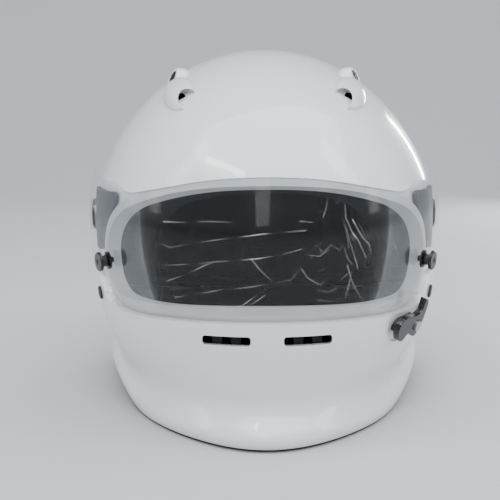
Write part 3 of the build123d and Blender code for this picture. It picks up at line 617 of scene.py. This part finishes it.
def stuffed(node, look, grooves):
    """A CAD pad made soft: remeshed, drawn in, swollen by cloth pressure and sewn down in channels."""
    piece = loose(node + "_work", closed_copy(node))
    remesh = piece.modifiers.new("remesh", "REMESH")
    remesh.mode, remesh.voxel_size = "VOXEL", look.pad_voxel
    mesh = settled(piece)
    piece = loose(node + "_work", mesh)
    smooth = piece.modifiers.new("smooth", "SMOOTH")
    smooth.factor, smooth.iterations = 0.5, 4
    mesh = settled(piece)
    moved_in(mesh, look.pad_slack)
    mesh.update()
    start = [v.co.copy() for v in mesh.vertices]
    piece = loose(node + "_work", mesh)
    cloth = piece.modifiers.new("cloth", "CLOTH")
    cloth.settings.use_pressure = True
    cloth.settings.uniform_pressure_force = 4.0
    cloth.settings.effector_weights.gravity = 0.0
    scene = bpy.context.scene
    for number in range(1, 21):
        scene.frame_set(number)
    mesh = settled(piece)
    scene.frame_set(1)
    for vertex, place in zip(mesh.vertices, start):
        shift = vertex.co - place
        if shift.length > look.pad_slack * 0.8:
            vertex.co = place + shift.normalized() * look.pad_slack * 0.8
    mesh.update()
    normals = [v.normal.copy() for v in mesh.vertices]
    for vertex, normal in zip(mesh.vertices, normals):
        vertex.co -= normal * grooves(vertex.co / MM, normal) * MM
    piece = loose(node + "_work", mesh)
    finer = piece.modifiers.new("finer", "SUBSURF")
    finer.levels = finer.render_levels = 1
    return settled(piece)


def groove(away, depth, width=2.4):
    return depth * math.exp(-(away / width) ** 2)


def crown_grooves(place, normal):
    """Channels from brow to nape on the side towards the head."""
    inner = normal.x * place.x + normal.y * place.y + normal.z * (place.z - GIRTH_HEIGHT) < 0
    lines = min(*(abs(abs(place.x) - line) for line in CROWN_CHANNELS), abs(place.y - CROWN_CROSS_CHANNEL))
    return groove(lines, 1.9 if inner else 0.2)


def cheek_grooves(place, normal):
    """Two sewn channels down the face of the pad."""
    inner = abs(normal.x) > 0.5 and normal.x * place.x < 0
    lines = min(abs(place.y - line) for line in CHEEK_CHANNELS)
    return groove(lines, 2.6 if inner else 0.0, 3.0)


def neck_grooves(place, normal):
    """Short channels across the roll, evenly spaced round the nape."""
    turn = math.degrees(math.atan2(place.x, place.y))
    half = NECK_CHANNEL_STEP / 2
    away = abs((turn + half) % NECK_CHANNEL_STEP - half) * NECK_MM_PER_DEGREE
    return groove(away, 1.8, 2.6)


class ShellLook(bpy.types.PropertyGroup):
    paint: bpy.props.FloatVectorProperty(
        name="Paint", description="Colour of the shell's white paint", subtype="COLOR",
        default=(0.85, 0.855, 0.86), min=0.0, max=1.0)
    seal: bpy.props.FloatVectorProperty(
        name="Seal", description="Colour of the rubber round the eyeport", subtype="COLOR",
        default=(0.55, 0.56, 0.57), min=0.0, max=1.0)
    rubber: bpy.props.FloatVectorProperty(
        name="Rubber", description="Colour of the rim trim and the rests", subtype="COLOR",
        default=(0.018, 0.018, 0.019), min=0.0, max=1.0)


class ShieldLook(bpy.types.PropertyGroup):
    clarity: bpy.props.FloatProperty(
        name="Reflection", description="Share of light that the shield reflects when seen square on",
        default=0.012, min=0.0, max=1.0, subtype="FACTOR")
    crease_light: bpy.props.FloatProperty(
        name="Crease light", description="How brightly the film's folds show", default=1.0,
        min=0.0, max=2.0)
    film_half_width: bpy.props.FloatProperty(
        name="Film half width", description="Half of the film's width across the shield",
        default=0.098, min=0.02, max=0.11, unit="LENGTH")
    film_step: bpy.props.FloatProperty(
        name="Film step", description="Spacing of the points that the film is creased with",
        default=0.0005, min=0.0003, max=0.005, unit="LENGTH")


class HardwareLook(bpy.types.PropertyGroup):
    plastic: bpy.props.FloatVectorProperty(
        name="Plastic", description="Colour of the moulded fittings", subtype="COLOR",
        default=(0.014, 0.014, 0.015), min=0.0, max=1.0)
    metal: bpy.props.FloatVectorProperty(
        name="Metal", description="Colour of the rings, rivets and inserts", subtype="COLOR",
        default=(0.56, 0.57, 0.58), min=0.0, max=1.0)


class SoftLook(bpy.types.PropertyGroup):
    foam: bpy.props.FloatVectorProperty(
        name="Foam", description="Colour of the moulded foam liners", subtype="COLOR",
        default=(0.008, 0.008, 0.0085), min=0.0, max=1.0)
    cloth: bpy.props.FloatVectorProperty(
        name="Cloth", description="Colour of the knitted pad covers", subtype="COLOR",
        default=(0.01, 0.01, 0.011), min=0.0, max=1.0)
    webbing: bpy.props.FloatVectorProperty(
        name="Webbing", description="Colour of the chin strap", subtype="COLOR",
        default=(0.026, 0.026, 0.028), min=0.0, max=1.0)
    thread: bpy.props.FloatVectorProperty(
        name="Thread", description="Colour of the stitching", subtype="COLOR",
        default=(0.09, 0.09, 0.095), min=0.0, max=1.0)
    pad_voxel: bpy.props.FloatProperty(
        name="Pad voxel", description="Size of the cells that a pad is remeshed with", default=0.004,
        min=0.002, max=0.01, unit="LENGTH")
    pad_slack: bpy.props.FloatProperty(
        name="Pad slack", description="How far a pad is drawn in before it swells", default=0.0015,
        min=0.0, max=0.005, unit="LENGTH")
    strap_width: bpy.props.FloatProperty(
        name="Strap width", description="Width of the chin strap", default=0.0215, min=0.01,
        max=0.03, unit="LENGTH")
    strap_thickness: bpy.props.FloatProperty(
        name="Strap thickness", description="Thickness of the chin strap", default=0.0015,
        min=0.0008, max=0.003, unit="LENGTH")
    stitch_pitch: bpy.props.FloatProperty(
        name="Stitch pitch", description="Distance from one stitch to the next", default=0.0032,
        min=0.001, max=0.01, unit="LENGTH")
    stitch_length: bpy.props.FloatProperty(
        name="Stitch length", description="Length of one stitch", default=0.0023, min=0.0005,
        max=0.008, unit="LENGTH")
    thread_radius: bpy.props.FloatProperty(
        name="Thread radius", description="Half the thickness of the thread", default=0.00035,
        min=0.0001, max=0.002, unit="LENGTH")


class StudioLook(bpy.types.PropertyGroup):
    floor: bpy.props.FloatVectorProperty(
        name="Floor", description="Colour of the floor and backdrop", subtype="COLOR",
        default=(0.56, 0.57, 0.59), min=0.0, max=1.0)
    camera_place: bpy.props.FloatVectorProperty(
        name="Camera place", description="Where the camera stands", subtype="TRANSLATION",
        default=(-0.0102, -0.79015, 0.22565), unit="LENGTH")
    camera_down: bpy.props.FloatProperty(
        name="Camera tilt", description="How far the camera looks down", default=math.radians(9.0),
        subtype="ANGLE")
    camera_roll: bpy.props.FloatProperty(
        name="Camera roll", description="How far the camera is turned about its view",
        default=math.radians(-0.26), subtype="ANGLE")
    lens: bpy.props.FloatProperty(
        name="Lens", description="Focal length in millimetres on a 36 mm sensor", default=76.54,
        min=10.0, max=300.0)
    key_power: bpy.props.FloatProperty(
        name="Key power", description="Power of the overhead softbox in watts", default=54.0, min=0.0)
    strip_power: bpy.props.FloatProperty(
        name="Strip power", description="Power of each upright strip light in watts", default=6.0,
        min=0.0)
    sky: bpy.props.FloatProperty(
        name="Sky", description="Strength of the light from all round", default=0.85, min=0.0)


class HELMET_OT_shell(bpy.types.Operator):
    """Paint the shell and finish its rubber seal, rim trim and rests"""
    bl_idname = "helmet.shell"
    bl_label = "Shell, seal and trim"

    def execute(self, context):
        look = context.scene.helmet_shell
        for finish in (shell_paint, eyeport_rubber, rim_rubber):
            wear(finish(look))
        return {"FINISHED"}


class HELMET_OT_shield(bpy.types.Operator):
    """Finish the clear shield and lay the crumpled protective film on it"""
    bl_idname = "helmet.shield"
    bl_label = "Shield and film"

    def execute(self, context):
        look = context.scene.helmet_shield
        wear(clear_shield(look))
        new_piece("protective_film", film_mesh(look), protective_film(look), "visor")
        return {"FINISHED"}


class HELMET_OT_hardware(bpy.types.Operator):
    """Finish the lock, vents, posts, screws, rings and inserts"""
    bl_idname = "helmet.hardware"
    bl_label = "Fittings"

    def execute(self, context):
        look = context.scene.helmet_hardware
        for finish in (moulded_black, shade_painted_black, glossy_black, brushed_metal):
            wear(finish(look))
        return {"FINISHED"}


class HELMET_OT_liner(bpy.types.Operator):
    """Finish the foam liners and make the sewn crown, cheek and neck pads"""
    bl_idname = "helmet.liner"
    bl_label = "Foam and pads"

    def execute(self, context):
        look = context.scene.helmet_soft
        wear(liner_foam(look))
        cloth = liner_cloth(look)
        pads = (("crown_pad", crown_grooves, 0.6), ("cheek_pad_left", cheek_grooves, 0.8),
                ("cheek_pad_right", cheek_grooves, 0.8), ("neck_roll", neck_grooves, 0.7))
        for node, grooves, fill in pads:
            pad = new_piece("sewn_" + node, stuffed(node, look, grooves), cloth, "helmet")
            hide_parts(node)
        return {"FINISHED"}


class HELMET_OT_straps(bpy.types.Operator):
    """Weave the two halves of the chin strap and sew their ends"""
    bl_idname = "helmet.straps"
    bl_label = "Chin strap"

    def execute(self, context):
        look = context.scene.helmet_soft
        webbing = strap_webbing(look)
        bar_x, bar_z = RING_BAR
        turns = [math.radians(a) for a in range(105, 300, 12)]
        ring_end = front_line(RING_END_LINE, STRAP_BEND)
        ring_end += [Vector((bar_x + LOOP_RADIUS * math.cos(a), 0, bar_z + LOOP_RADIUS * math.sin(a)))
                     for a in turns]
        ring_end += front_line(RETURN_LINE, RETURN_BEND)
        free_end = front_line(FREE_END_LINE, STRAP_BEND)
        for name, line in (("strap_left", ring_end), ("strap_right", free_end)):
            strap = new_piece("woven_" + name, webbing_mesh(name, line, look), webbing, "helmet")
            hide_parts(name)
        (near, far), (front, back) = BOX_ENDS, STITCH_SIDES
        corners = ((near, front), (far, front), (far, back), (near, back))
        box = [(x, y, STITCH_TOP) for x, y in (*corners, corners[0], corners[2])]
        cross = [(x, y, STITCH_TOP) for x, y in (corners[1], corners[3])]
        bars = [[(x, y, STITCH_TOP) for y in STITCH_SIDES] for x in BOX_ENDS]
        under = [(x, y, STITCH_UNDER)
                 for x, y in ((UNDER_END, front), (far, front), (far, back), (UNDER_END, back))]
        tip_x, tip_z = FREE_END_LINE[-1]
        hem = [[(x, y, tip_z + (x - tip_x) * HEM_SLOPE + HEM_RAISED) for y in HEM_SIDES] for x in HEM_PLACES]
        runs = [box, cross, under, *bars, *hem]
        thread = stitch_thread(look)
        sewing = sewn("strap_stitches", runs, thread, look)
        new_piece("strap_stitches", sewing, thread, "helmet")
        return {"FINISHED"}


class HELMET_OT_studio(bpy.types.Operator):
    """Set up the pale floor, the soft lights and the camera"""
    bl_idname = "helmet.studio"
    bl_label = "Studio"

    def execute(self, context):
        look, scene = context.scene.helmet_studio, context.scene
        turns = np.linspace(0.0, math.pi / 2, 25)[1:]
        profile = [(FLOOR_FRONT, 0.0), (FLOOR_BACK, 0.0)]
        profile += [(FLOOR_BACK + SWEEP * math.sin(a), SWEEP - SWEEP * math.cos(a)) for a in turns]
        profile.append((FLOOR_BACK + SWEEP, WALL_TOP))
        points = [(x, y, z) for y, z in profile for x in (-FLOOR_HALF_WIDTH, FLOOR_HALF_WIDTH)]
        faces = [(2 * i, 2 * i + 1, 2 * i + 3, 2 * i + 2) for i in range(len(profile) - 1)]
        mesh = bpy.data.meshes.new("studio_floor")
        mesh.from_pydata(points, [], faces)
        for face in mesh.polygons:
            face.use_smooth = True
        finish = Finish("studio_floor")
        paper = finish.grain(60.0, 3.0)
        mesh.materials.append(finish.done(finish.gloss(
            Base_Color=finish.blend(paper * 0.2, tint(look.floor), tint(look.floor, 0.92)), Roughness=0.7,
            Normal=finish.bump(paper, 0.0003, 0.2))))
        loose("studio_floor", mesh)
        world = bpy.data.worlds.new("studio_sky")
        world.use_nodes = True
        sky = world.node_tree.nodes["Background"]
        sky.inputs["Color"].default_value = (0.86, 0.92, 1.0, 1.0)
        sky.inputs["Strength"].default_value = look.sky
        scene.world = world
        lights = (
            ("key_softbox", (0.2, -0.6, 2.0), (0.0, 0.0, 0.12), 3.0, 2.4, look.key_power),
            ("right_band", (1.35, -0.4, 1.0), (0.0, -0.05, 0.15), 0.3, 1.9, look.strip_power),
            ("left_band", (-1.35, -0.35, 1.0), (0.0, -0.05, 0.15), 0.3, 1.9, look.strip_power * 0.7),
            ("front_band", (-0.04, -2.2, 1.15), (0.0, 0.0, 0.12), 0.28, 2.2, look.strip_power * 0.8),
            ("temple_streak", (0.66, 1.1, 0.32), (0.0, 0.0, 0.17), 0.09, 0.42, look.strip_power * 0.7),
            ("brow_streak", (-0.55, -0.66, 1.5), (0.0, -0.1, 0.17), 0.75, 0.1, look.strip_power * 0.5),
        )
        for name, place, aim, wide, tall, power in lights:
            lamp = bpy.data.lights.new(name, "AREA")
            lamp.shape, lamp.size, lamp.size_y, lamp.energy = "RECTANGLE", wide, tall, power
            light = loose(name, lamp)
            light.location = place
            light.rotation_euler = (Vector(aim) - Vector(place)).to_track_quat("-Z", "Y").to_euler()
        data = bpy.data.cameras.new("camera")
        data.sensor_width, data.lens = 36.0, look.lens
        camera = loose("camera", data)
        camera.location = look.camera_place
        tilt, roll = math.pi / 2 - look.camera_down, look.camera_roll
        turn = Matrix.Rotation(tilt, 4, "X") @ Matrix.Rotation(roll, 4, "Z")
        camera.rotation_euler = turn.to_euler()
        scene.camera = camera
        return {"FINISHED"}


class HELMET_PT_looks(bpy.types.Panel):
    """Lists the helmet's finishes and the steps that make them"""
    bl_idname = "HELMET_PT_looks"
    bl_label = "Racing helmet"
    bl_space_type = "VIEW_3D"
    bl_region_type = "UI"
    bl_category = "Helmet"

    def draw(self, context):
        for group, operators in STEPS:
            box = self.layout.box()
            for step in operators:
                box.operator(step.bl_idname)
            look = getattr(context.scene, group)
            for name in look.bl_rna.properties.keys():
                if name not in {"rna_type", "name"}:
                    box.prop(look, name)


GROUPS = {"helmet_shell": ShellLook, "helmet_shield": ShieldLook, "helmet_hardware": HardwareLook,
          "helmet_soft": SoftLook, "helmet_studio": StudioLook}
STEPS = (
    ("helmet_studio", (HELMET_OT_studio,)),
    ("helmet_shell", (HELMET_OT_shell,)),
    ("helmet_shield", (HELMET_OT_shield,)),
    ("helmet_hardware", (HELMET_OT_hardware,)),
    ("helmet_soft", (HELMET_OT_liner, HELMET_OT_straps)),
)


def register():
    for group, kind in GROUPS.items():
        bpy.utils.register_class(kind)
        setattr(bpy.types.Scene, group, bpy.props.PointerProperty(type=kind))
    for _, operators in STEPS:
        for operator in operators:
            bpy.utils.register_class(operator)
    bpy.utils.register_class(HELMET_PT_looks)


def unregister():
    bpy.utils.unregister_class(HELMET_PT_looks)
    for _, operators in STEPS:
        for operator in operators:
            bpy.utils.unregister_class(operator)
    for group, kind in GROUPS.items():
        delattr(bpy.types.Scene, group)
        bpy.utils.unregister_class(kind)


def main():
    register()
    for step in (bpy.ops.helmet.studio, bpy.ops.helmet.shell, bpy.ops.helmet.shield,
                 bpy.ops.helmet.hardware, bpy.ops.helmet.liner, bpy.ops.helmet.straps):
        step()


if __name__ == "__main__":
    main()
